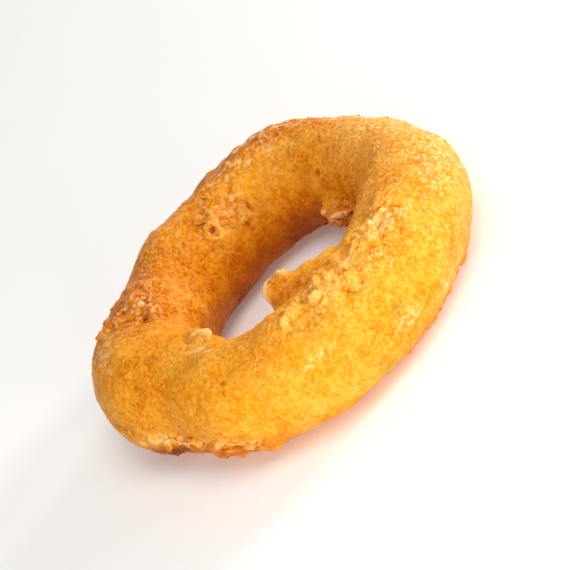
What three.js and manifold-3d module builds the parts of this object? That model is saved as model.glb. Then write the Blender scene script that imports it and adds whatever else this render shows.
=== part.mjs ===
// One battered, deep-fried onion ring, lying flat.
//
// Frame: millimetres, +Z up, +X along the ring's longer axis, +Y across it. The origin is on the surface
// that the ring rests on, under the middle of the ring.
//
// Places on the ring are given by two angles in degrees. "round" goes round the ring: 0 at +X, 90 at +Y.
// "over" goes round the tube: 0 faces away from the hole, 90 up, 180 into the hole and 270 down.

import * as THREE from "three";
import { mergeVertices } from "three/addons/utils/BufferGeometryUtils.js";
import Module from "manifold-3d";

// ---- Driving dimensions ----

const RING_LENGTH = 72;
const RING_WIDTH = 68.5;
const TUBE_THICKNESS = 18.8;
const FOOT_DEPTH = 0.3; // how far the underside is pressed flat

const STEPS_ROUND = 120;
const STEPS_OVER = 42;
const SEED = 11;

// ---- Sizes worked out from them ----

const TUBE_RADIUS = TUBE_THICKNESS / 2;
const CENTRE_HALF_LENGTH = (RING_LENGTH - TUBE_THICKNESS) / 2;
const CENTRE_HALF_WIDTH = (RING_WIDTH - TUBE_THICKNESS) / 2;

// ---- The ring's uneven form ----
// "out" moves the tube's centreline away from the hole, and "fat" thickens the tube.

const SWELLS = [
  { name: "bulge of the near right side", round: 322, spread: 18, out: 0.4, fat: 0.0 },
  { name: "full near side", round: 264, spread: 34, out: 2.5, fat: 0.35 },
  { name: "flatter right end", round: 22, spread: 26, out: -2.9, fat: -0.3 },
  { name: "full far right side", round: 64, spread: 18, out: 0.6, fat: 0.1 },
  { name: "flatter far side", round: 106, spread: 14, out: -1.0, fat: -0.1 },
  { name: "pinch in the far left side", round: 136, spread: 14, out: -1.0, fat: -0.6 },
  { name: "blunt corner of the left end", round: 164, spread: 11, out: 0.5, fat: 0.1 },
  { name: "left end", round: 184, spread: 18, out: 1.8, fat: 0.3 },
  { name: "lean near left side", round: 209, spread: 15, out: -1.1, fat: -0.1 },
  { name: "full near left side", round: 231, spread: 12, out: 0.8, fat: 0.1 },
];

// Gentle waves all over the crust.
const WAVES = [
  { size: 15, height: 0.8 },
  { size: 6.5, height: 0.5 },
];

// Patches where the batter fried into crags. "height" is the depth of their relief.
const CRAGS = [
  { name: "ridge of the near inner edge", round: 296, over: 88, reach: [32, 28], height: 1.2 },
  { name: "collar of the left end", round: 151, over: 115, reach: [11, 60], height: 1.3 },
  { name: "far inner wall", round: 98, over: 140, reach: [22, 26], height: 1.0 },
  { name: "far outer rim", round: 70, over: 55, reach: [30, 22], height: 0.9 },
  { name: "right end of the hole", round: 24, over: 180, reach: [20, 34], height: 1.3 },
  { name: "left end of the hole", round: 205, over: 150, reach: [16, 26], height: 1.0 },
  { name: "near lower edge", round: 215, over: 320, reach: [30, 26], height: 1.0 },
  { name: "underside of the far right", round: 45, over: 245, reach: [40, 30], height: 1.0 },
  { name: "underside of the near side", round: 285, over: 220, reach: [35, 30], height: 1.0 },
];
const CRAG_SIZE = 3.2;

// Patches of crumbs: domes of batter that stand out of the crust.
const CRUMBS = [
  { name: "near ridge", round: 280, over: 88, reach: [24, 20], count: 20, radius: [1.3, 2.4] },
  { name: "right of the near ridge", round: 304, over: 72, reach: [15, 20], count: 13, radius: [1.3, 2.6] },
  { name: "collar", round: 152, over: 120, reach: [12, 54], count: 22, radius: [1.3, 2.3] },
  { name: "far wall", round: 97, over: 132, reach: [20, 26], count: 14, radius: [1.2, 2.0] },
  { name: "far rim", round: 66, over: 60, reach: [24, 14], count: 9, radius: [1.2, 1.8] },
  { name: "hole's right end", round: 21, over: 186, reach: [18, 24], count: 12, radius: [1.3, 2.4] },
  { name: "near left edge", round: 212, over: 316, reach: [32, 14], count: 20, radius: [1.2, 2.1] },
  { name: "near right edge", round: 312, over: 302, reach: [26, 10], count: 8, radius: [1.1, 1.5] },
  { name: "far edge", round: 95, over: 310, reach: [45, 12], count: 16, radius: [1.2, 2.0] },
];
const CRUMB_HEIGHT = 0.48; // as a share of a crumb's radius
const CRUMB_BLUNTNESS = 0.7; // 1 for a parabola, and less for a steeper edge
const GOLDEN_ANGLE = 137.5; // spreads a patch's crumbs evenly

// Burst bubbles: a pit inside a raised lip.
const BUBBLES = [
  { name: "far side", round: 98, over: 147, radius: 1.7, depth: 0.9 },
  { name: "near left", round: 236, over: 62, radius: 1.4, depth: 0.5 },
  { name: "far right", round: 52, over: 96, radius: 1.5, depth: 0.5 },
];
const LIP = { spread: 1.6, height: 0.45 }; // as shares of a bubble's radius and depth

// The relief fades to a share of itself where the ring rests.
const AT_FOOT = { over: 270, spread: 26, share: 0.2 };

// ---- Flaps of batter ----

// They set as the batter ran over the edge of the hole. Half of a flap's length is its root in the ring.
// "rise" is how far its tip points up, and "turn" how far it points round the ring.
const FLAPS = [
  { name: "tongue", round: 264.5, over: 134, width: 6.2, length: 13.2, thickness: 1.5, rise: 31, turn: 4 },
  { name: "low side", round: 274, over: 132, width: 8.5, length: 10.5, thickness: 1.8, rise: 19, turn: -12 },
  { name: "end of it", round: 283, over: 130, width: 8, length: 7.5, thickness: 2.0, rise: 9, turn: -12 },
  { name: "curl", round: 212, over: 126, width: 7.4, length: 4.2, thickness: 1.5, rise: 6, turn: -4 },
  { name: "flake", round: 18, over: 174, width: 6.0, length: 6.8, thickness: 1.4, rise: 26, turn: -15 },
  { name: "small flake", round: 20, over: 188, width: 6.0, length: 4.4, thickness: 1.5, rise: 4, turn: 8 },
];
const FLAP_FACES = [14, 10];
const FLAP_UNEVENNESS = 0.1;
const FLAP_LUMP = 0.7; // size of its unevenness, where the flap is 2 long
const FLAP_DROOP = 0.45; // as a share of a flap's thickness
const FLAP_BLUNTNESS = 4; // 2 for an elliptical outline, and more for a squarer one

const CRUST = { color: "#f0a62c", roughness: 0.5, metalness: 0 };

// ---- Numbers ----

const radians = THREE.MathUtils.degToRad;

// A repeatable number from 0 to 1 for three whole numbers.
function dice(i, j, k) {
  let h = Math.imul(i, 374761393) ^ Math.imul(j, 668265263) ^ Math.imul(k + SEED, 1440662683);
  h = Math.imul(h ^ (h >>> 13), 1274126177);
  h = Math.imul(h ^ (h >>> 15), 2246822519);
  return ((h ^ (h >>> 16)) >>> 0) / 4294967296;
}

// The numbers of one numbered piece: pick(n)(low, high) gives a different one at each call.
function pick(piece) {
  let call = 0;
  return (low, high) => THREE.MathUtils.lerp(low, high, dice(piece, ++call, 77));
}

// Smooth noise from -1 to 1, whose lumps are one "size" apart.
function lumps(point, size) {
  const at = [point.x / size, point.y / size, point.z / size];
  const cell = at.map(Math.floor);
  const [fx, fy, fz] = at.map((x, i) => THREE.MathUtils.smoothstep(x - cell[i], 0, 1));
  const corner = (i, j, k) => dice(cell[0] + i, cell[1] + j, cell[2] + k);
  const edge = (j, k) => THREE.MathUtils.lerp(corner(0, j, k), corner(1, j, k), fx);
  const face = (k) => THREE.MathUtils.lerp(edge(0, k), edge(1, k), fy);
  return THREE.MathUtils.lerp(face(0), face(1), fz) * 2 - 1;
}

// How far two angles are apart, in degrees, whichever way is shorter.
function between(a, b) {
  const turn = Math.abs(a - b) % 360;
  return Math.min(turn, 360 - turn);
}

// 1 at the middle of a hill, falling smoothly to 0 a few spreads away.
const hill = (distance, spread) => Math.exp(-((distance / spread) ** 2));

// ---- The ring's surface ----

// The centreline, the direction away from the hole, and the tube's radius at an angle round the ring.
function section(round) {
  const u = radians(round);
  const centre = new THREE.Vector3(CENTRE_HALF_LENGTH * Math.cos(u), CENTRE_HALF_WIDTH * Math.sin(u), 0);
  const direction = new THREE.Vector3(Math.cos(u) / CENTRE_HALF_LENGTH, Math.sin(u) / CENTRE_HALF_WIDTH, 0);
  direction.normalize();
  let radius = TUBE_RADIUS;
  for (const swell of SWELLS) {
    const share = hill(between(round, swell.round), swell.spread);
    centre.addScaledVector(direction, swell.out * share);
    radius += swell.fat * share;
  }
  centre.z = radius - FOOT_DEPTH;
  return { centre, direction, radius };
}

// The direction that the tube's surface faces.
function facing(direction, over) {
  const v = radians(over);
  return direction.clone().multiplyScalar(Math.cos(v)).setZ(Math.sin(v));
}

// A point on the smooth tube, before any relief.
function smoothPoint(round, over) {
  const { centre, direction, radius } = section(round);
  return centre.addScaledVector(facing(direction, over), radius);
}

// The crumbs of a patch lie on a sunflower spiral, each a little off its place.
function crumbsOf(patch, p) {
  return Array.from({ length: patch.count }, (_, i) => {
    const draw = pick(100 * p + i);
    const spread = Math.sqrt((i + draw(0.1, 0.9)) / patch.count);
    const angle = radians(GOLDEN_ANGLE * i);
    const round = patch.round + patch.reach[0] * spread * Math.cos(angle);
    const over = patch.over + patch.reach[1] * spread * Math.sin(angle);
    return { place: smoothPoint(round, over), radius: draw(...patch.radius) };
  });
}

const crumbs = CRUMBS.flatMap(crumbsOf);

// How far the highest crumb at a point stands out.
function crumbHeight(point) {
  let height = 0;
  for (const crumb of crumbs) {
    const share = 1 - (point.distanceTo(crumb.place) / crumb.radius) ** 2;
    if (share > 0) height = Math.max(height, CRUMB_HEIGHT * crumb.radius * share ** CRUMB_BLUNTNESS);
  }
  return height;
}

// How far a bubble raises the crust at a distance from its middle.
function bubbleHeight({ radius, depth }, distance) {
  const pit = (1 + LIP.height) * hill(distance, radius);
  return depth * (LIP.height * hill(distance, LIP.spread * radius) - pit);
}

// How far the crust stands out from the smooth tube.
function relief(point, round, over) {
  let height = crumbHeight(point);
  for (const wave of WAVES) height += wave.height * lumps(point, wave.size);
  for (const crag of CRAGS) {
    const share =
      hill(between(round, crag.round), crag.reach[0]) * hill(between(over, crag.over), crag.reach[1]);
    height += crag.height * share * lumps(point, CRAG_SIZE);
  }
  for (const bubble of BUBBLES) {
    height += bubbleHeight(bubble, point.distanceTo(smoothPoint(bubble.round, bubble.over)));
  }
  const atFoot = hill(between(over, AT_FOOT.over), AT_FOOT.spread);
  return height * THREE.MathUtils.lerp(1, AT_FOOT.share, atFoot);
}

function crustPoint(round, over) {
  const point = smoothPoint(round, over);
  const height = relief(point, round, over);
  return point.addScaledVector(facing(section(round).direction, over), height);
}

// A closed torus grid whose vertices are moved onto the crust.
function ringGeometry() {
  const geometry = new THREE.TorusGeometry(1, 0.5, STEPS_OVER, STEPS_ROUND);
  const position = geometry.getAttribute("position");
  for (let j = 0, i = 0; j <= STEPS_OVER; j++) {
    for (let k = 0; k <= STEPS_ROUND; k++, i++) {
      const round = ((k % STEPS_ROUND) * 360) / STEPS_ROUND;
      const over = ((j % STEPS_OVER) * 360) / STEPS_OVER;
      position.setXYZ(i, ...crustPoint(round, over));
    }
  }
  return geometry;
}

// ---- Flaps of batter ----

// How much further out a blunt outline is than a circle, in a direction.
function bluntness(x, y) {
  const reach = (Math.abs(x) ** FLAP_BLUNTNESS + Math.abs(y) ** FLAP_BLUNTNESS) ** (1 / FLAP_BLUNTNESS);
  return reach > 0 ? Math.hypot(x, y) / reach : 1;
}

// A flat lump along X whose tip droops, made uneven by its number.
function flapShape(flap, i) {
  const geometry = new THREE.SphereGeometry(1, ...FLAP_FACES).rotateX(radians(90));
  const position = geometry.getAttribute("position");
  const half = new THREE.Vector3(flap.length, flap.width, flap.thickness).divideScalar(2);
  const shift = new THREE.Vector3(7.3, 3.1, 5.7).multiplyScalar(i);
  const point = new THREE.Vector3();
  for (let k = 0; k < position.count; k++) {
    point.fromBufferAttribute(position, k);
    const swell = 1 + FLAP_UNEVENNESS * lumps(point.clone().add(shift), FLAP_LUMP);
    const spread = swell * bluntness(point.x, point.y);
    const droop = FLAP_DROOP * flap.thickness * point.x ** 2;
    point.multiply(half);
    position.setXYZ(k, point.x * spread, point.y * spread, point.z * swell - droop);
  }
  return geometry;
}

// A flap with its root at its place on the tube, pointing into the hole.
function flapGeometry(flap, i) {
  return flapShape(flap, i)
    .rotateY(radians(-flap.rise))
    .rotateZ(radians(flap.round + 180 + flap.turn))
    .translate(...smoothPoint(flap.round, flap.over));
}

// ---- Joining ----

const wasm = await Module();
wasm.setup();

// A closed geometry as a solid.
function solidOf(geometry) {
  geometry.deleteAttribute("normal").deleteAttribute("uv");
  const merged = mergeVertices(geometry, 1e-4);
  return new wasm.Manifold(
    new wasm.Mesh({
      numProp: 3,
      vertProperties: merged.getAttribute("position").array,
      triVerts: new Uint32Array(merged.getIndex().array),
    }),
  );
}

function geometryOf(solid) {
  const { vertProperties, triVerts } = solid.getMesh();
  const geometry = new THREE.BufferGeometry();
  geometry.setAttribute("position", new THREE.BufferAttribute(vertProperties, 3));
  geometry.setIndex(new THREE.BufferAttribute(triVerts, 1));
  geometry.computeVertexNormals();
  return geometry;
}

// All that lies under the surface that the ring rests on.
function floorGeometry() {
  const depth = 20;
  return new THREE.BoxGeometry(2 * RING_LENGTH, 2 * RING_WIDTH, depth).translate(0, 0, -depth / 2);
}

// The ring with its flaps, cut flat where it rests and moved to the middle of its own box.
function onionRing() {
  let solid = solidOf(ringGeometry());
  for (const geometry of FLAPS.map(flapGeometry)) solid = solid.add(solidOf(geometry));
  solid = solid.subtract(solidOf(floorGeometry()));
  const geometry = geometryOf(solid);
  geometry.computeBoundingBox();
  const middle = geometry.boundingBox.getCenter(new THREE.Vector3());
  geometry.translate(-middle.x, -middle.y, 0);
  const mesh = new THREE.Mesh(geometry, new THREE.MeshStandardMaterial(CRUST));
  mesh.name = "onion_ring";
  return mesh;
}

const part = new THREE.Group();
part.add(onionRing());

export default part;
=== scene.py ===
"""A battered, deep-fried onion ring: the finish of its crust, a pale studio and the camera.

Lengths are in metres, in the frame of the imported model: +Z up, +X along the ring's longer axis, and the
origin on the surface that the ring rests on. Places on the ring are two angles in degrees: "round" goes
round the ring, 0 at +X and 90 at +Y, and "over" goes round its tube, 0 facing away from the hole, 90 up,
180 into the hole and 270 down.
"""

import math
from collections import namedtuple

import bmesh
import bpy
import numpy as np
from mathutils import Matrix, Vector, noise


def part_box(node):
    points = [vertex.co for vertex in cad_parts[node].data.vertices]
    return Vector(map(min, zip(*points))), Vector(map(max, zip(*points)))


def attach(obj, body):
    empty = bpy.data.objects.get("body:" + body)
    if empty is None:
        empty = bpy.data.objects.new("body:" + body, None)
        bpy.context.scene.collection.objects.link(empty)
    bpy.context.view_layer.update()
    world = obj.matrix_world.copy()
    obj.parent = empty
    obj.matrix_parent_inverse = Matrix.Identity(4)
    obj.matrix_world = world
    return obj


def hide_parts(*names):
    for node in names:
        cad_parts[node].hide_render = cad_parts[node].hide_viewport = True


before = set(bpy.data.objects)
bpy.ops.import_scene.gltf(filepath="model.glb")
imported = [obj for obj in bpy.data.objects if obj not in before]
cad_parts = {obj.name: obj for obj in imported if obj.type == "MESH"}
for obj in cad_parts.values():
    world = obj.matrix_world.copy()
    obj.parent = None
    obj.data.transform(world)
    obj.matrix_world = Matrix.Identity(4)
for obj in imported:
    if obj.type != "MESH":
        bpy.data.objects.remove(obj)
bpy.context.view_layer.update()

MM = 0.001
NODE = "onion_ring"
SEED = 5

# ---- The ring's sizes ----

LOW, HIGH = (np.array(corner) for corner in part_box(NODE))
TUBE_RADIUS = 9.4 * MM  # evened out, as the tube is thicker at the near side
CENTRE_HALF_LENGTH = (HIGH[0] - LOW[0]) / 2 - TUBE_RADIUS
CENTRE_HALF_WIDTH = (HIGH[1] - LOW[1]) / 2 - TUBE_RADIUS
PAST_THE_BOX = 0.35 * MM  # how far crumbs may stand out of the frame's box

# ---- The crust ----

# How finely the solid, the crust and the crags are remeshed, and how much the solid is evened out.
FORM_VOXEL = 0.45 * MM
CRUST_VOXEL = 0.24 * MM
CRAGS_VOXEL = 0.2 * MM
FORM_SMOOTHING = 9
MOST_TRIANGLES = 190_000  # in one piece

# In the lists below a patch has its middle at the angles round and over, and fades out past its reach
# in each of them. A patch with "off" holds only what stands so far off the tube's middle, in tube radii.

# Where the batter fried into crags: how rough and how brown they are.
CRAGS = [
    dict(name="near ridge", round=270, over=86, reach=(13, 24), rough=1.15, brown=-0.05),
    dict(name="middle of the near ridge", round=289, over=83, reach=(14, 30), rough=1.15, brown=-0.05),
    dict(name="end of the near ridge", round=307, over=69, reach=(12, 25), rough=1.15, brown=-0.03),
    dict(name="collar", round=155, over=96, reach=(9, 44), rough=0.48, brown=0.06),
    dict(name="inner side of the collar", round=166, over=132, reach=(8, 26), rough=0.6, brown=0.08),
    dict(name="far wall", round=95, over=128, reach=(18, 22), rough=0.75, brown=0.02),
    dict(name="streaks on the far wall", round=79, over=152, reach=(12, 14), rough=0.75, brown=0.0),
    dict(name="far rim", round=70, over=80, reach=(26, 20), rough=0.4, brown=0.0),
    dict(name="hole's right end", round=14, over=190, reach=(14, 22), rough=0.85, brown=0.10),
    dict(name="hole's left end", round=209, over=138, reach=(8, 20), rough=0.8, brown=0.0),
    dict(name="left edge", round=186, over=8, reach=(13, 12), rough=0.6, brown=0.06),
    dict(name="near left edge", round=202, over=348, reach=(9, 12), rough=1.2, brown=0.0),
    dict(name="near lower edge", round=215, over=340, reach=(12, 12), rough=0.7, brown=0.04),
    dict(name="end of the near lower edge", round=231, over=330, reach=(9, 12), rough=1.2, brown=0.0),
    dict(name="left end's rim", round=168, over=62, reach=(14, 18), rough=0.35, brown=0.05),
    dict(name="near right edge", round=315, over=304, reach=(26, 13), rough=0.6, brown=0.15),
    dict(name="far edge", round=95, over=312, reach=(48, 16), rough=0.8, brown=0.2),
    dict(name="right underside", round=30, over=250, reach=(45, 34), rough=0.7, brown=0.25),
    dict(name="near underside", round=285, over=222, reach=(38, 30), rough=0.7, brown=0.25),
]
CRAG_LEVELS = (0.3, 0.85)  # how rough the crust is where crags begin and where they are full
CRAG_EDGES = dict(size=4.5 * MM, rough=0.45, shift=3.7)  # the waves that break their edges

# Where the smooth crust browned more, or less, and where it is darkened as painted shade: the patches
# marked below are painted shade, wholly or in part.
BROWNING_AND_PAINTED_SHADE = [
    # painted shade in part: the far side is browner, and darkened further as painted shade
    dict(name="far side", round=105, over=120, reach=(60, 50), brown=0.07),
    dict(name="far rim", round=66, over=64, reach=(34, 24), brown=0.40),
    dict(name="round the collar", round=155, over=112, reach=(18, 60), brown=0.20),
    # painted shade: the left end is darkened for the shade it lies in
    dict(name="left end", round=180, over=80, reach=(34, 60), brown=0.08),
    # painted shade in part: the wall of the hole is browner, and darkened further for the shade in the
    # hole
    dict(name="wall of the hole", round=80, over=216, reach=(110, 38), brown=0.48),
    dict(name="right end", round=10, over=60, reach=(30, 50), brown=-0.04),
    # painted shade: the inside of the right end is darkened to the warm orange of shade lit by bounced
    # light
    dict(name="inside of the right end", round=15, over=150, reach=(40, 40), brown=0.08),
    dict(name="near side", round=285, over=30, reach=(45, 60), brown=-0.04),
    # painted shade: a darker strip under the near ridge
    dict(name="below the near ridge", round=290, over=56, reach=(26, 12), brown=0.05),
    dict(name="near right side", round=325, over=25, reach=(22, 50), brown=0.05),
    dict(name="lower edge", round=250, over=285, reach=(200, 30), brown=0.10),
    # painted shade in part: browned, and darkened for the shade under the left edge's crumbs
    dict(name="under the left edge", round=203, over=314, reach=(30, 17), brown=0.6),
    dict(name="tongue", round=266, over=140, reach=(13, 40), off=1.12, brown=0.30),
    dict(name="near left side", round=225, over=60, reach=(40, 60), brown=0.04),
    # painted shade: the far left side is darkened for the shade it lies in
    dict(name="far left side", round=128, over=118, reach=(22, 50), brown=0.20),
]
BROWN_BASE = 0.24
BROWN_WAVES = [
    dict(size=9.0 * MM, brown=0.10, shift=8.1),
    dict(size=3.5 * MM, brown=0.07, shift=1.9),
]

# Where the crust gets painted glints, pale specks that stand in for sparkling light, and more crumbs.
GRAINS_AND_GLINTS = [
    dict(name="right end", round=2, over=45, reach=(34, 60), grain=1.1),
    dict(name="near ridge", round=290, over=78, reach=(30, 34), grain=0.4),
    dict(name="wall of the hole", round=80, over=205, reach=(110, 44), grain=-0.3),
    dict(name="far side", round=85, over=80, reach=(46, 40), grain=0.35),
    dict(name="far left side", round=130, over=120, reach=(20, 40), grain=0.2),
    dict(name="collar", round=160, over=90, reach=(26, 50), grain=0.3),
    dict(name="tongue", round=266, over=140, reach=(10, 34), off=1.15, grain=0.1),
    dict(name="left side", round=205, over=20, reach=(44, 60), grain=-0.2),
]
GRAIN_BASE = 0.12
GRAIN_WAVES = dict(size=6.0 * MM, grain=0.25, shift=4.4)

# Where the batter stayed pale and dry, in spots, and where pale colour is painted on as highlight: the
# patches marked below are painted highlights.
PALENESS_AND_HIGHLIGHTS = [
    # painted highlight: the lit lip of the curl and the hole's edge beside it
    dict(name="curl", round=212, over=138, reach=(7, 22), off=1.12, pale=0.7),
    dict(name="edge beside the curl", round=221, over=120, reach=(5, 6), pale=1.1),
    dict(name="end of the edge beside the curl", round=228, over=109, reach=(5, 5), pale=0.9),
    dict(name="near ridge", round=285, over=84, reach=(28, 20), pale=0.4),
    # painted highlight: pinkish sheen on the far rim's flakes and a pale line along the rim
    dict(name="far rim", round=72, over=92, reach=(20, 18), pale=0.65),
    dict(name="line on the far rim", round=64, over=64, reach=(18, 7), pale=1.3),
    dict(name="end of the near ridge", round=309, over=72, reach=(7, 12), pale=1.0),
    # painted highlights on the near side
    dict(name="streak on the near side", round=264, over=31, reach=(5, 5), pale=1.3),
    dict(name="spot on the near side", round=290, over=354, reach=(4, 9), pale=1.3),
    dict(name="near right edge", round=308, over=330, reach=(8, 10), pale=0.7),
    dict(name="hole's right end", round=14, over=187, reach=(9, 14), pale=0.7),
    # painted highlight: a bright line along the right rim
    dict(name="line on the right rim", round=353, over=2, reach=(9, 8), pale=2.4),
    dict(name="middle of the right rim", round=7, over=24, reach=(10, 8), pale=2.2),
    dict(name="end of the right rim", round=22, over=45, reach=(9, 10), pale=1.5),
    dict(name="left end's upper rim", round=170, over=70, reach=(14, 12), pale=0.8),
    dict(name="far wall", round=88, over=138, reach=(20, 24), pale=0.5),
    dict(name="collar", round=158, over=112, reach=(12, 44), pale=0.35),
    dict(name="near left edge", round=202, over=348, reach=(9, 10), pale=1.3),
    dict(name="near lower edge", round=215, over=342, reach=(12, 8), pale=0.7),
    dict(name="end of the near lower edge", round=230, over=332, reach=(7, 9), pale=1.3),
    dict(name="left end's rim", round=165, over=48, reach=(14, 10), pale=0.5),
]

# Painted highlights along the thin rims of flaps, and how far their crust stands out from what lies round
# it there.
PAINTED_RIM_HIGHLIGHTS = [
    dict(name="tongue", round=266, over=140, reach=(14, 40), off=1.15, pale=1.2),
    dict(name="low flap", round=285, over=130, reach=(10, 34), off=1.15, pale=0.6),
    dict(name="curl", round=211, over=140, reach=(8, 34), off=1.1, pale=1.2),
    dict(name="hole's right end", round=16, over=186, reach=(12, 34), off=1.15, pale=1.2),
]
RIM_RELIEF = (0.08 * MM, 0.22 * MM)

# The crags are fused lumps with creases between them: how wide the lumps are and how high.
LUMPS = [
    dict(size=3.4 * MM, height=1.0 * MM),
    dict(size=1.5 * MM, height=0.3 * MM),
]
LUMP_BEND = 0.6  # how far the creases wander, in lump widths
CREASE_WIDTH = 0.7  # in lump widths

# Broken lumps on the crags, crumbs all over the crust and the blisters that it is fused with: their
# radii, how deep they are sunk, in radii, how high they are for their width, and how finely the ball
# is divided that they are made from.
BROKEN_LUMP = dict(radii=(0.3 * MM, 0.8 * MM), sink=(0.2, 0.7), height=(0.6, 0.95), subdivisions=3)
CRUMB = dict(radii=(0.14 * MM, 0.36 * MM), sink=(-0.1, 0.4), height=(0.6, 1.0), subdivisions=2)
BLISTER = dict(radii=(0.35 * MM, 0.95 * MM), sink=(0.0, 0.2), height=(0.25, 0.4), subdivisions=3)
LUMP_STRETCH = (0.75, 1.3)
BROKEN_LUMP_DENSITY = 0.22  # for each square millimetre of crags
BROKEN_LUMP_CLUSTER = 3.2 * MM
CRUMBS = 1300
BLISTERS = 300

# Burst bubbles: a pit inside a raised lip.
BUBBLES = [
    dict(name="far side", round=98, over=147, radius=1.25 * MM, depth=0.75 * MM),
    dict(name="near left", round=236, over=62, radius=0.8 * MM, depth=0.1 * MM),
    dict(name="far right", round=32, over=144, radius=1.0 * MM, depth=0.2 * MM),
    dict(name="left end", round=176, over=58, radius=0.7 * MM, depth=0.3 * MM),
    dict(name="near side", round=283, over=42, radius=0.7 * MM, depth=0.12 * MM),
    dict(name="far left side", round=122, over=92, radius=0.8 * MM, depth=0.35 * MM),
]
BUBBLE_PIT = (0.45, 0.95)  # where the pit's floor ends and where its wall does, in radii
BUBBLE_LIP = 0.35  # how wide the lip is, in radii
BUBBLE_LIP_HEIGHT = 0.45  # in depths of the pit
BUBBLE_SHADE_AND_HIGHLIGHT = 0.3  # painted shade and painted highlight: how much darker the pit is coloured, and paler the lip, for each millimetre of depth

# Thin flakes of batter fused with the crags: how many, their half width in millimetres and how steeply
# they stand, in degrees.
FLAKES = [
    dict(
        name="hole's right end", round=14, over=188, reach=(10, 18),
        count=16, half=(0.8, 1.6), tilt=(8, 40),
    ),
    dict(
        name="collar", round=156, over=106, reach=(7, 36),
        count=8, half=(0.6, 1.0), tilt=(2, 14),
    ),
    dict(
        name="near left edge", round=207, over=342, reach=(18, 9),
        count=14, half=(0.6, 1.1), tilt=(4, 20),
    ),
    dict(
        name="far wall", round=97, over=120, reach=(18, 18),
        count=10, half=(0.7, 1.4), tilt=(4, 20),
    ),
]
FLAKE_THICKNESS = 0.42 * MM
FLAKE_LOBES = (1, 2, 3, 5)  # how many times each unevenness of the outline goes round it
FLAKE_UNEVENNESS = 0.22  # how far the lobes reach in and out, and how far the flake bends
FLAKE_FRAY = 0.08  # how far single points of the outline stray
FLAKE_REACH = (0.45, 1.6)  # the nearest and the farthest that the outline comes
FLAKE_LIFT = 0.45  # how far a tilted flake is raised, for how far its lower edge would sink

# The fine relief: the size of its waves, their height on smooth crust and their height on crags.
RELIEF = [
    dict(size=5.0 * MM, smooth=0.22 * MM, craggy=0.22 * MM),
    dict(size=2.2 * MM, smooth=0.10 * MM, craggy=0.36 * MM),
    dict(size=1.0 * MM, smooth=0.04 * MM, craggy=0.18 * MM),
    dict(size=0.7 * MM, smooth=0.02 * MM, craggy=0.06 * MM),
]
CRAGS_RELIEF = [
    dict(size=0.9 * MM, smooth=0.10 * MM, craggy=0.10 * MM),
    dict(size=0.45 * MM, smooth=0.06 * MM, craggy=0.06 * MM),
]

# ---- The picture ----

VIEW_ELEVATION = 30
VIEW_ROLL = 41  # the ring's long axis rises to the right by this angle
VIEW_DISTANCE = 0.55
VIEW_WIDTH = 95 * MM  # what the picture's width covers at the ring
VIEW_TARGET = Vector((0.6 * MM, 0, TUBE_RADIUS - 1.3 * MM))
SENSOR = 36

FLOOR_HALF = 3.0
FLOOR_HEIGHT = -0.05 * MM

# Round softboxes: the way to each, its width and distance, and its power in watts.
SOFTBOXES = [
    dict(name="overhead", way=(0.25, -0.35, 1.0), width=0.4, distance=0.6, watts=1.4),
    dict(name="front", way=(0.0, -1.0, 0.12), width=0.16, distance=0.3, watts=0.7),
    dict(name="rim", way=(1.3, 0.15, 0.4), width=0.14, distance=0.6, watts=1.7),
    dict(name="back", way=(1.3, 0.8, 0.3), width=0.1, distance=0.6, watts=1.0),
]
SKY_COLOR = (1.0, 0.96, 0.89, 1)
SKY_STRENGTH = 0.42

rng = np.random.default_rng(SEED)

# A place on the crust, the direction it faces and how large the thing on it is.
Spot = namedtuple("Spot", "place facing radius")


# ---- Numbers ----


def between(a, b):
    """How far two angles are apart, in degrees, whichever way is shorter."""
    turn = np.abs(a - b) % 360
    return np.minimum(turn, 360 - turn)


def smooth_step(x, low, high):
    """0 up to low, 1 from high on, and a smooth rise between them."""
    share = np.clip((x - low) / (high - low), 0, 1)
    return share * share * (3 - 2 * share)


def waves(points, size, shift=0.0):
    """Smooth noise from about -1 to 1 at each point, whose waves are one size apart.

    Another shift gives other waves of the same size.
    """
    return np.array([noise.noise(Vector(p)) for p in points / size + shift])


def unit(vectors):
    return vectors / np.linalg.norm(vectors, axis=-1, keepdims=True)


# ---- Places on the ring ----


def centre_and_outward(angle):
    """Points on the tube's centreline at angles in radians, and the directions away from the hole."""
    centre = np.stack([
        CENTRE_HALF_LENGTH * np.cos(angle),
        CENTRE_HALF_WIDTH * np.sin(angle),
        np.full_like(angle, TUBE_RADIUS),
    ], axis=1)
    outward = np.stack([
        np.cos(angle) / CENTRE_HALF_LENGTH,
        np.sin(angle) / CENTRE_HALF_WIDTH,
        np.zeros_like(angle),
    ], axis=1)
    return centre, unit(outward)


def places(points):
    """The angles round and over of each point, in degrees, and how far off the tube's middle it is."""
    angle = np.arctan2(points[:, 1] / CENTRE_HALF_WIDTH, points[:, 0] / CENTRE_HALF_LENGTH)
    centre, outward = centre_and_outward(angle)
    away = points - centre
    over = np.arctan2(away[:, 2], (away * outward).sum(axis=1))
    off = np.linalg.norm(away, axis=1) / TUBE_RADIUS
    return np.degrees(angle) % 360, np.degrees(over) % 360, off


def share_of(patch, around, over, off):
    """1 at the middle of a patch, fading out past its reach and under its off."""
    far = (between(around, patch["round"]) / patch["reach"][0]) ** 2
    far = far + (between(over, patch["over"]) / patch["reach"][1]) ** 2
    standing = patch.get("off", 0)
    return np.exp(-far) * smooth_step(off, standing - 0.1, standing + 0.1)


def craggy(points):
    """How craggy the crust is at each point, from 0 to 1, with broken edges."""
    where = places(points)
    rough = sum(patch["rough"] * share_of(patch, *where) for patch in CRAGS)
    edge_waves = CRAG_EDGES["rough"] * waves(points, CRAG_EDGES["size"], CRAG_EDGES["shift"])
    return smooth_step(rough + edge_waves * smooth_step(rough, 0.05, 0.4), *CRAG_LEVELS)


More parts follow.
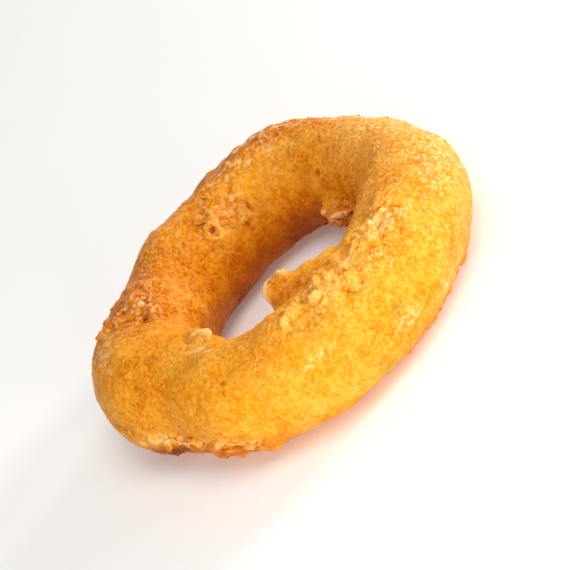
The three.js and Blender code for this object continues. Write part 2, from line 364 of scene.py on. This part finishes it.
def grains_and_glints(points):
    """How strongly the crust gets painted glints and crumbs at each point, from 0 to 1."""
    where = places(points)
    grain = np.full(len(points), GRAIN_BASE)
    for patch in GRAINS_AND_GLINTS:
        grain += patch["grain"] * share_of(patch, *where)
    grain += GRAIN_WAVES["grain"] * waves(points, GRAIN_WAVES["size"], GRAIN_WAVES["shift"])
    return np.clip(grain, 0, 1)


def paleness_and_highlights(points):
    """How pale each point is, from pale dry batter and from painted highlights: 0 or more."""
    where = places(points)
    return sum(patch["pale"] * share_of(patch, *where) for patch in PALENESS_AND_HIGHLIGHTS)


def painted_rim_highlight(points, relief):
    """How pale each point is painted for being near the rim of a flap, as painted highlight: 0 or more.
    """
    where = places(points)
    pale = sum(patch["pale"] * share_of(patch, *where) ** 0.5 for patch in PAINTED_RIM_HIGHLIGHTS)
    return pale * smooth_step(relief, *RIM_RELIEF)


def browned_and_shaded(points):
    """How brown the crust is at each point, from about 0 to 1, with the painted shade of the shaded
    patches added in.
    """
    where = places(points)
    brown = np.full(len(points), BROWN_BASE)
    for patch in CRAGS + BROWNING_AND_PAINTED_SHADE:
        brown += patch["brown"] * share_of(patch, *where)
    # painted shade in each bubble's pit and painted highlight on its lip
    for bubble, lip, pit in bubble_shapes(*where):
        brown += bubble["depth"] / MM * (BUBBLE_SHADE_AND_HIGHLIGHT * pit - BUBBLE_SHADE_AND_HIGHLIGHT * lip)
    for wave in BROWN_WAVES:
        brown += wave["brown"] * waves(points, wave["size"], wave["shift"])
    return brown


# ---- Meshes ----


def points_of(mesh):
    points = np.empty(len(mesh.vertices) * 3)
    mesh.vertices.foreach_get("co", points)
    return points.reshape(-1, 3)


def normals_of(mesh):
    normals = np.empty(len(mesh.vertices) * 3)
    mesh.vertices.foreach_get("normal", normals)
    return normals.reshape(-1, 3)


def move_points(mesh, points):
    mesh.vertices.foreach_set("co", points.ravel())
    mesh.update()


def triangles_in(mesh):
    mesh.calc_loop_triangles()
    return len(mesh.loop_triangles)


def add_piece(name, data):
    piece = bpy.data.objects.new(name, data)
    bpy.context.scene.collection.objects.link(piece)
    return piece


def modified(mesh, kind, **settings):
    """A new mesh: the old one after one of Blender's modifiers."""
    piece = add_piece("modified", mesh)
    modifier = piece.modifiers.new("modifier", kind)
    for key, value in settings.items():
        setattr(modifier, key, value)
    depsgraph = bpy.context.evaluated_depsgraph_get()
    result = bpy.data.meshes.new_from_object(piece.evaluated_get(depsgraph))
    bpy.data.objects.remove(piece)
    return result


def remeshed(mesh, voxel):
    """A closed mesh of the same form, whose faces are about one voxel wide."""
    return modified(mesh, "REMESH", mode="VOXEL", voxel_size=voxel)


def thinned(mesh, triangles):
    """The mesh with at most so many triangles, fewest where it is flat."""
    share = triangles / triangles_in(mesh)
    if share >= 1:
        return mesh
    return modified(mesh, "DECIMATE", ratio=share)


def moved_to_neighbours(mesh, steps):
    """The mesh's points after each step, a share of the way to the middle of their neighbours."""
    edges = np.empty(len(mesh.edges) * 2, dtype=np.int32)
    mesh.edges.foreach_get("vertices", edges)
    first, second = edges.reshape(-1, 2).T
    count = len(mesh.vertices)
    degree = np.maximum(np.bincount(edges, minlength=count), 1)
    points = points_of(mesh)
    for step in steps:
        for axis in range(3):
            column = points[:, axis]
            total = np.bincount(first, column[second], count) + np.bincount(second, column[first], count)
            points[:, axis] = column + step * (total / degree - column)
    return points


def smooth(mesh, rounds, forward=0.6, back=-0.62):
    """Evens out the mesh without shrinking it, as each step back undoes the shrinking."""
    move_points(mesh, moved_to_neighbours(mesh, [forward, back] * rounds))


def local_relief(mesh, rounds):
    """How far each point stands out from what lies round it."""
    evened = moved_to_neighbours(mesh, [0.5] * rounds)
    return ((points_of(mesh) - evened) * normals_of(mesh)).sum(axis=1)


def mesh_of(name, parts):
    """One mesh from the points and faces of several closed parts."""
    starts = np.cumsum([0] + [len(points) for points, faces in parts])
    mesh = bpy.data.meshes.new(name)
    points = np.concatenate([points for points, faces in parts])
    faces = np.concatenate([faces + start for (points, faces), start in zip(parts, starts)])
    mesh.from_pydata(points, [], faces)
    return mesh


def joined(meshes):
    """One mesh that holds copies of several."""
    form = bmesh.new()
    for mesh in meshes:
        form.from_mesh(mesh)
    result = bpy.data.meshes.new("joined")
    form.to_mesh(result)
    form.free()
    return result


def set_attribute(mesh, name, values):
    attribute = mesh.attributes.new(name, "FLOAT", "POINT")
    attribute.data.foreach_set("value", values.astype(np.float32))


# ---- Spots on the crust ----


def inside_box(spot):
    low = LOW - PAST_THE_BOX
    high = HIGH + PAST_THE_BOX
    return (spot.place - spot.radius > low).all() and (spot.place + spot.radius < high).all()


def pick_spots(mesh, weights, count, radii):
    """Spots picked among a mesh's points by weight, small ones more often than large."""
    points, normals = points_of(mesh), normals_of(mesh)
    chosen = rng.choice(len(points), size=count, replace=False, p=weights / weights.sum())
    sizes = radii[0] + (radii[1] - radii[0]) * rng.uniform(size=count) ** 2
    return [Spot(points[i], normals[i], size) for i, size in zip(chosen, sizes)]


def axes_at(facing):
    """Three axes: two along the crust, turned at random, and the direction that it faces."""
    side = unit(np.cross(facing, rng.normal(size=3)))
    return np.stack([side, np.cross(facing, side), facing])


# ---- Lumps, blisters and crumbs ----


def unit_ball(subdivisions):
    """The points and triangles of a ball of radius 1."""
    form = bmesh.new()
    bmesh.ops.create_icosphere(form, subdivisions=subdivisions, radius=1)
    form.verts.index_update()
    points = np.array([vertex.co for vertex in form.verts])
    faces = np.array([[vertex.index for vertex in face.verts] for face in form.faces])
    form.free()
    return points, faces


def broken(ball, facets=9, depths=(0.68, 1.0)):
    """A ball's points, moved as if the ball had been broken along flat faces."""
    facing = ball @ unit(rng.normal(size=(facets, 3))).T
    reach = rng.uniform(*depths, facets) / np.maximum(facing, 0.05)
    return ball * np.minimum(reach.min(axis=1), 1.1)[:, None]


def lumps_on(crust, weights, count, kind):
    """Broken lumps of one kind at spots picked by weight, each sunk into the crust."""
    spots = pick_spots(crust, weights, count, kind["radii"])
    points, faces = unit_ball(kind["subdivisions"])
    parts = []
    for spot in filter(inside_box, spots):
        stretch = rng.uniform(*LUMP_STRETCH)
        scale = np.array([stretch, 1 / stretch, rng.uniform(*kind["height"])]) * spot.radius
        middle = spot.place - spot.facing * spot.radius * rng.uniform(*kind["sink"])
        parts.append((middle + (broken(points) * scale) @ axes_at(spot.facing), faces))
    return parts


def blisters_mesh(form):
    """Blisters all over the crust, spread evenly."""
    weights = np.ones(len(form.vertices))
    return mesh_of("blisters", lumps_on(form, weights, BLISTERS, BLISTER))


# ---- The crust ----


def fine_relief(points, rough, layers):
    """How far the fine relief raises the crust at each point."""
    height = np.zeros(len(points))
    for i, wave in enumerate(layers):
        reach = wave["smooth"] + (wave["craggy"] - wave["smooth"]) * rough
        height += reach * waves(points, wave["size"], 10.3 * i)
    return height


def bubble_shapes(around, over, off):
    """Each burst bubble with its lip's and its pit's share at each point."""
    for bubble in BUBBLES:
        distance = place_distance(around, over, bubble) / bubble["radius"]
        lip = np.exp(-(((distance - 1) / BUBBLE_LIP) ** 2))
        pit = 1 - smooth_step(distance, *BUBBLE_PIT)
        yield bubble, lip, pit


def bubble_relief(points):
    """How far the burst bubbles raise the crust, or sink it, at each point."""
    shapes = bubble_shapes(*places(points))
    return sum(bubble["depth"] * (BUBBLE_LIP_HEIGHT * lip - pit) for bubble, lip, pit in shapes)


def lump_relief(points, rough):
    """How far the fused lumps of the crags raise the crust, or their creases sink it, at each point."""
    height = np.zeros(len(points))
    craggy_ones = np.flatnonzero(rough > 0.02)
    for layer in LUMPS:
        size = layer["size"]
        spots = points[craggy_ones]
        bent = np.column_stack([waves(spots, 1.3 * size, shift) for shift in (2.2, 7.7, 13.3)])
        height[craggy_ones] += layer["height"] * lump_shapes(spots / size + LUMP_BEND * bent)
    return height * rough


def lump_shapes(spots):
    """From about -0.5 in the creases between lumps that are about 1 wide to 0.6 on the highest ones."""
    shapes = []
    for spot in spots:
        (first, second, *_), (middle, *_) = noise.voronoi(Vector(spot))
        gap = min((second - first) / CREASE_WIDTH, 1)
        tall = max(0.65 + 1.3 * noise.noise(middle * 3.7), 0.1)
        shapes.append(tall * (gap * (2 - gap)) * (1 - 0.5 * first * first) - 0.45)
    return np.array(shapes)


def place_distance(around, over, place):
    """Roughly how far points are from a place on the tube, measured along the crust."""
    ring_radius = CENTRE_HALF_LENGTH + TUBE_RADIUS * math.cos(math.radians(place["over"]))
    along = np.radians(between(around, place["round"])) * ring_radius
    across = np.radians(between(over, place["over"])) * TUBE_RADIUS
    return np.hypot(along, across)


def set_down(points):
    """The points, with none under the surface that the ring rests on."""
    return np.column_stack([points[:, :2], np.maximum(points[:, 2], 0)])


def crust_mesh(form):
    """The solid's form fused with blisters, with burst bubbles, the crags' lumps and fine relief."""
    mesh = remeshed(joined([form, blisters_mesh(form)]), CRUST_VOXEL)
    smooth(mesh, 1)
    points, normals = points_of(mesh), normals_of(mesh)
    rough = craggy(points)
    height = fine_relief(points, rough, RELIEF) + bubble_relief(points) + lump_relief(points, rough)
    move_points(mesh, set_down(points + normals * height[:, None]))
    return thinned(mesh, MOST_TRIANGLES)


def crags_mesh(crust):
    """Clusters of broken lumps and flakes, fused with each other."""
    points = points_of(crust)
    rough = craggy(points)
    clusters = smooth_step(waves(points, BROKEN_LUMP_CLUSTER, 5.5), -0.15, 0.3)
    weights = rough**2 * clusters + 1e-9  # so that no point is left out
    area = (rough > 0.4).sum() * (CRUST_VOXEL / MM) ** 2
    lumps = lumps_on(crust, weights, int(BROKEN_LUMP_DENSITY * area), BROKEN_LUMP)
    mesh = remeshed(mesh_of("crags", lumps + flakes_on(crust)), CRAGS_VOXEL)
    smooth(mesh, 2)
    points, normals = points_of(mesh), normals_of(mesh)
    height = fine_relief(points, craggy(points), CRAGS_RELIEF)
    move_points(mesh, set_down(points + normals * height[:, None]))
    return thinned(mesh, MOST_TRIANGLES)


def crumbs_mesh(crust):
    """Crumbs all over the crust, most of them on the crags and where the crust gets painted glints."""
    points = points_of(crust)
    weights = 0.1 + 1.5 * craggy(points) + grains_and_glints(points)
    mesh = mesh_of("crumbs", lumps_on(crust, weights, CRUMBS, CRUMB))
    move_points(mesh, set_down(points_of(mesh)))
    return mesh


# ---- Flakes ----


def flake_outline(steps=16):
    """Directions all round a flake, and how far its ragged edge is from its middle in each."""
    turns = np.arange(steps) * 2 * math.pi / steps
    reach = np.ones(steps)
    for lobes in FLAKE_LOBES:
        swing = FLAKE_UNEVENNESS / math.sqrt(lobes) * rng.normal()
        reach += swing * np.cos(lobes * turns + rng.uniform(0, 7))
    return turns, np.clip(reach + rng.normal(size=steps) * FLAKE_FRAY, *FLAKE_REACH)


def flake(rings=4):
    """The points and faces of a bent and ragged flake whose half width is about 1.

    Each point has its place on the flake's bent middle surface and, last, how far above that it lies,
    in thicknesses of the flake's middle.
    """
    turns, reach = flake_outline()
    steps = len(turns)
    shares = np.arange(1, rings + 1) / rings
    x = (shares[:, None] * reach * np.cos(turns)).ravel()
    y = (shares[:, None] * reach * np.sin(turns)).ravel()
    bend = rng.normal(size=3) * FLAKE_UNEVENNESS
    lift = bend[0] * x * x + bend[1] * x * y + bend[2] * y * y
    half = np.repeat(0.5 * np.sqrt(1 - shares**2 * 0.92), steps)
    plane = np.column_stack([x, y])
    middle = [[0, 0, 0, 0.5], [0, 0, 0, -0.5]]
    upper = np.column_stack([plane, lift, half])
    lower = np.column_stack([plane, lift, -half])
    return np.concatenate([middle, upper, lower]), flake_faces(rings, steps)


def flake_faces(rings, steps):
    """The triangles of a flake's upper and lower sides and of the narrow edge between them."""
    faces = []
    for top in (True, False):
        start = 2 if top else 2 + rings * steps
        for k in range(steps):
            after = (k + 1) % steps
            cap = [0 if top else 1, start + k, start + after]
            faces.append(cap if top else cap[::-1])
            for ring in range(rings - 1):
                a, b = start + ring * steps + k, start + ring * steps + after
                c, d = b + steps, a + steps
                faces += [[a, d, c], [a, c, b]] if top else [[a, c, d], [a, b, c]]
    upper_edge, lower_edge = 2 + (rings - 1) * steps, 2 + (2 * rings - 1) * steps
    for k in range(steps):
        after = (k + 1) % steps
        a, b = upper_edge + k, upper_edge + after
        c, d = lower_edge + after, lower_edge + k
        faces += [[a, d, c], [a, c, b]]
    return np.array(faces)


def flakes_on(crust):
    """The flakes of every patch, as points and faces."""
    points = points_of(crust)
    where = places(points)
    parts = []
    for patch in FLAKES:
        weights = share_of(patch, *where) ** 2 + 1e-12
        radii = np.array(patch["half"]) * MM
        for spot in filter(inside_box, pick_spots(crust, weights, patch["count"], radii)):
            shape, faces = flake()
            local = shape[:, :3] * spot.radius
            local[:, 2] += shape[:, 3] * FLAKE_THICKNESS
            tilt = math.radians(rng.uniform(*patch["tilt"]))
            axes = axes_at(spot.facing)
            raised = np.cos(tilt) * axes[0] + np.sin(tilt) * axes[2]
            tilted = np.stack([raised, axes[1], np.cross(raised, axes[1])])
            middle = spot.place + spot.radius * math.sin(tilt) * FLAKE_LIFT * spot.facing
            parts.append((middle + local @ tilted, faces))
    return parts


# ---- Materials ----


class Nodes:
    """Adds and links the nodes of one material."""

    def __init__(self, name):
        self.material = bpy.data.materials.new(name)
        self.material.use_nodes = True
        self.tree = self.material.node_tree
        self.shader = self.tree.nodes["Principled BSDF"]

    def add(self, kind, inputs=None, **settings):
        node = self.tree.nodes.new(kind)
        for key, value in settings.items():
            setattr(node, key, value)
        for key, value in (inputs or {}).items():
            self.set(node.inputs[key], value)
        return node

    def set(self, socket, value):
        if isinstance(value, bpy.types.NodeSocket):
            self.tree.links.new(value, socket)
        else:
            socket.default_value = value

    def math(self, operation, a, b=0.0):
        return self.add("ShaderNodeMath", {0: a, 1: b}, operation=operation).outputs[0]

    def total(self, *values):
        result = values[0]
        for value in values[1:]:
            result = self.math("ADD", result, value)
        return result

    def scaled(self, value, low, high, to_low=0.0, to_high=1.0):
        inputs = {"Value": value, "From Min": low, "From Max": high, "To Min": to_low, "To Max": to_high}
        return self.add("ShaderNodeMapRange", inputs).outputs["Result"]

    def attribute(self, name):
        return self.add("ShaderNodeAttribute", attribute_name=name).outputs["Fac"]

    def noise(self, place, size, detail=2.0, roughness=0.5):
        inputs = {"Vector": place, "Scale": 1 / size, "Detail": detail, "Roughness": roughness}
        return self.add("ShaderNodeTexNoise", inputs).outputs["Fac"]

    def beads(self, place, size):
        """Rounded grains that fill the surface: 1 in their middles and 0 between them."""
        cells = self.add("ShaderNodeTexVoronoi", {"Vector": place, "Scale": 1 / size})
        return self.scaled(cells.outputs["Distance"], 0.6, 0.1)

    def grains(self, place, size, low, high):
        """A value drawn for each small cell, between low and high."""
        cells = self.add("ShaderNodeTexVoronoi", {"Vector": place, "Scale": 1 / size})
        drawn = self.add("ShaderNodeSeparateColor", {"Color": cells.outputs["Color"]}).outputs["Green"]
        return self.scaled(drawn, 0.0, 1.0, low, high)

    def mixed(self, share, color, other):
        """A share of the other colour mixed into the first."""
        inputs = {"Factor": share, "A": color, "B": (*other, 1)}
        node = self.tree.nodes.new("ShaderNodeMix")
        node.data_type = "RGBA"
        for socket in node.inputs:
            if socket.enabled and socket.name in inputs:
                self.set(socket, inputs[socket.name])
        return next(socket for socket in node.outputs if socket.enabled)

    def ramp(self, value, stops):
        """The colour at a value, going smoothly from stop to stop."""
        node = self.add("ShaderNodeValToRGB", {"Fac": value})
        node.color_ramp.interpolation = "B_SPLINE"
        elements = node.color_ramp.elements
        while len(elements) < len(stops):
            elements.new(0.5)
        for element, (position, color) in zip(elements, stops):
            element.position = position
            element.color = (*color, 1)
        return node.outputs["Color"]


# Colours of batter from pale to dark, as linear red, green and blue.
BATTER = [
    (0.00, (0.93, 0.45, 0.050)),
    (0.22, (0.86, 0.33, 0.010)),
    (0.42, (0.76, 0.235, 0.004)),
    (0.62, (0.55, 0.125, 0.002)),
    (0.82, (0.32, 0.050, 0.001)),
    (1.00, (0.14, 0.018, 0.001)),
]
PALE_AND_HIGHLIGHT = (1.0, 0.64, 0.26)  # pale dry patches, painted highlights, and the tips of crags whitened as painted highlight
GLINT_COLOR = (1.0, 0.76, 0.42)  # painted glints: pale specks that stand in for sparkling light


def brown_and_shade_share(nodes, place, relief):
    """How brown the batter is: mottled, with painted shade darkening the creases and painted highlight
    lightening the tips.
    """
    brown = nodes.attribute("brown")
    # painted shade in the creases and painted highlight on the tips, from how far each point stands out
    painted_crease_shade = nodes.scaled(relief, -0.02, -0.22, 0.0, 0.22)
    painted_tip_lightening = nodes.scaled(relief, 0.04, 0.26, 0.0, -0.12)
    cloud = nodes.scaled(nodes.noise(place, 6 * MM, 2), 0.3, 0.7, -0.07, 0.07)
    blotch = nodes.scaled(nodes.noise(place, 2.2 * MM, 4, 0.6), 0.3, 0.7, -0.12, 0.12)
    grains = nodes.grains(place, 0.5 * MM, -0.15, 0.15)
    weaker_on_brown = nodes.scaled(brown, 0.4, 0.62, 1.0, 0.4)
    mottling = nodes.math("MULTIPLY", nodes.math("ADD", blotch, grains), weaker_on_brown)
    return nodes.total(brown, painted_crease_shade, painted_tip_lightening, cloud, mottling)


def pale_and_highlight_share(nodes, place, relief):
    """How much the pale colour covers: spots in the pale patches, some of them painted highlights, and
    painted highlights on high tips and on the rims of flaps.
    """
    pale = nodes.attribute("pale")
    more_spots = nodes.scaled(pale, 0.0, 2.0, 0.0, 0.24)
    spots = nodes.math("ADD", nodes.noise(place, 1.3 * MM, 3, 0.6), more_spots)
    strength = nodes.scaled(pale, 0.0, 0.5, 0.0, 0.8)
    patchy = nodes.math("MULTIPLY", nodes.scaled(spots, 0.56, 0.72), strength)
    # painted highlight: the high tips of the crags are whitened
    white_tip_strength = nodes.scaled(nodes.attribute("craggy"), 0.0, 1.0, 0.15, 0.5)
    painted_white_tips = nodes.math("MULTIPLY", nodes.scaled(relief, 0.05, 0.32), white_tip_strength)
    # painted highlight along the rims of flaps
    rim = nodes.scaled(nodes.attribute("rim"), 0.0, 1.0, 0.0, 0.8)
    return nodes.math("MAXIMUM", nodes.math("MAXIMUM", patchy, painted_white_tips), rim)


def glint_share(nodes, place):
    """How much the painted glints cover: pale specks that stand in for sparkling light."""
    glints = nodes.scaled(nodes.noise(place, 0.7 * MM, 3, 0.7), 0.52, 0.64, 0.0, 0.85)
    return nodes.math("MULTIPLY", glints, nodes.attribute("grains_and_glints"))


def grain_normal(nodes, place):
    """The way the batter's surface faces, with grain and beads too fine for the mesh."""
    grain = nodes.noise(place, 0.9 * MM, 3, 0.6)
    beads = nodes.beads(place, 0.8 * MM)
    height = nodes.math("ADD", grain, nodes.math("MULTIPLY", beads, 0.6))
    bump = nodes.add("ShaderNodeBump", {"Height": height, "Strength": 0.6, "Distance": 0.22 * MM})
    return bump.outputs["Normal"]


def batter_material():
    """Fried batter, coloured by the attributes that add_batter gives a mesh."""
    nodes = Nodes("fried_batter")
    place = nodes.add("ShaderNodeTexCoord").outputs["Object"]
    relief = nodes.attribute("relief")
    # the brown share holds painted shade in creases and painted highlight on tips
    color = nodes.ramp(brown_and_shade_share(nodes, place, relief), BATTER)
    # pale spots, partly pale dry batter and partly painted highlights
    color = nodes.mixed(pale_and_highlight_share(nodes, place, relief), color, PALE_AND_HIGHLIGHT)
    # painted glints: pale specks that stand in for sparkling light
    color = nodes.mixed(glint_share(nodes, place), color, GLINT_COLOR)
    roughness = nodes.scaled(nodes.noise(place, 1.1 * MM, 2), 0.3, 0.7, 0.34, 0.6)

    inputs = {
        "Base Color": color,
        "Roughness": roughness,
        "Normal": grain_normal(nodes, place),
        "Subsurface Weight": 0.15,
        "Subsurface Radius": (1.0, 0.42, 0.12),
        "Subsurface Scale": 1.2 * MM,
        "Specular IOR Level": 0.16,
        "Specular Tint": (1.0, 0.75, 0.20, 1),
    }
    for name, value in inputs.items():
        nodes.set(nodes.shader.inputs[name], value)
    return nodes.material


def floor_material():
    """A nearly white surface, clouded a little."""
    nodes = Nodes("pale_floor")
    place = nodes.add("ShaderNodeTexCoord").outputs["Object"]
    shade = nodes.scaled(nodes.noise(place, 60 * MM, 2), 0.3, 0.7, 0.93, 0.96)
    color = nodes.add("ShaderNodeCombineColor", {"Red": shade, "Green": shade, "Blue": shade})
    nodes.set(nodes.shader.inputs["Base Color"], color.outputs["Color"])
    nodes.shader.inputs["Roughness"].default_value = 0.6
    nodes.shader.inputs["Emission Strength"].default_value = 0.12
    return nodes.material


# ---- The pieces ----


def add_batter(name, mesh, material, relief_rounds, brown_shift=0.0):
    """Adds one piece of batter: its colours follow where it is and how far each point stands out."""
    mesh.name = name
    points = points_of(mesh)
    relief = local_relief(mesh, relief_rounds)
    set_attribute(mesh, "brown", browned_and_shaded(points) + brown_shift)
    set_attribute(mesh, "grains_and_glints", grains_and_glints(points))
    set_attribute(mesh, "pale", paleness_and_highlights(points))
    # painted highlight along the rims of flaps
    set_attribute(mesh, "rim", painted_rim_highlight(points, relief))
    set_attribute(mesh, "craggy", craggy(points))
    set_attribute(mesh, "relief", relief / MM)
    mesh.materials.clear()
    mesh.materials.append(material)
    mesh.shade_smooth()
    print(name, "triangles", triangles_in(mesh))
    piece = add_piece(name, mesh)
    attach(piece, "root")
    return piece


def make_ring():
    """Adds the crust, the crags and the crumbs."""
    form = remeshed(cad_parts[NODE].data.copy(), FORM_VOXEL)
    smooth(form, FORM_SMOOTHING)
    batter = batter_material()
    crust_form = crust_mesh(form)
    crust = add_batter("crust", crust_form, batter, relief_rounds=24)
    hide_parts(NODE)
    add_batter("crags", crags_mesh(crust_form), batter, relief_rounds=16)
    add_batter("crumbs", crumbs_mesh(crust_form), batter, relief_rounds=2, brown_shift=-0.02)


# ---- The studio ----


def make_floor():
    mesh = bpy.data.meshes.new("floor")
    sides = [(-1, -1), (1, -1), (1, 1), (-1, 1)]
    corners = [(x * FLOOR_HALF, y * FLOOR_HALF, FLOOR_HEIGHT) for x, y in sides]
    mesh.from_pydata(corners, [], [(0, 1, 2, 3)])
    mesh.materials.append(floor_material())
    floor = add_piece("floor", mesh)


def view_axes():
    """The camera's right, up and back directions."""
    elevation, roll = math.radians(VIEW_ELEVATION), math.radians(VIEW_ROLL)
    level = Vector((1, 0, 0))
    tilted = Vector((0, math.sin(elevation), math.cos(elevation)))
    right = level * math.cos(roll) - tilted * math.sin(roll)
    up = level * math.sin(roll) + tilted * math.cos(roll)
    return right, up, right.cross(up)


def make_camera():
    camera = bpy.data.cameras.new("camera")
    camera.sensor_width = SENSOR
    camera.lens = SENSOR * VIEW_DISTANCE / VIEW_WIDTH
    camera.clip_start = 0.01
    right, up, back = view_axes()
    turn = Matrix((right, up, back)).transposed().to_4x4()
    piece = add_piece("camera", camera)
    piece.matrix_world = Matrix.Translation(VIEW_TARGET + back * VIEW_DISTANCE) @ turn
    bpy.context.scene.camera = piece


def add_softbox(name, way, width, distance, watts):
    """Adds a round softbox that faces the origin."""
    light = bpy.data.lights.new(name, "AREA")
    light.shape = "DISK"
    light.size = width
    light.energy = watts
    direction = Vector(way).normalized()
    piece = add_piece(name, light)
    piece.location = direction * distance
    piece.rotation_euler = direction.to_track_quat("Z", "Y").to_euler()
    piece.visible_camera = False


def make_lights():
    for softbox in SOFTBOXES:
        add_softbox(**softbox)
    world = bpy.data.worlds.new("studio")
    world.use_nodes = True
    background = world.node_tree.nodes["Background"]
    background.inputs["Color"].default_value = SKY_COLOR
    background.inputs["Strength"].default_value = SKY_STRENGTH
    bpy.context.scene.world = world
    bpy.context.scene.view_settings.view_transform = "Standard"


# ---- The scene ----

make_ring()
make_floor()
make_lights()
make_camera()
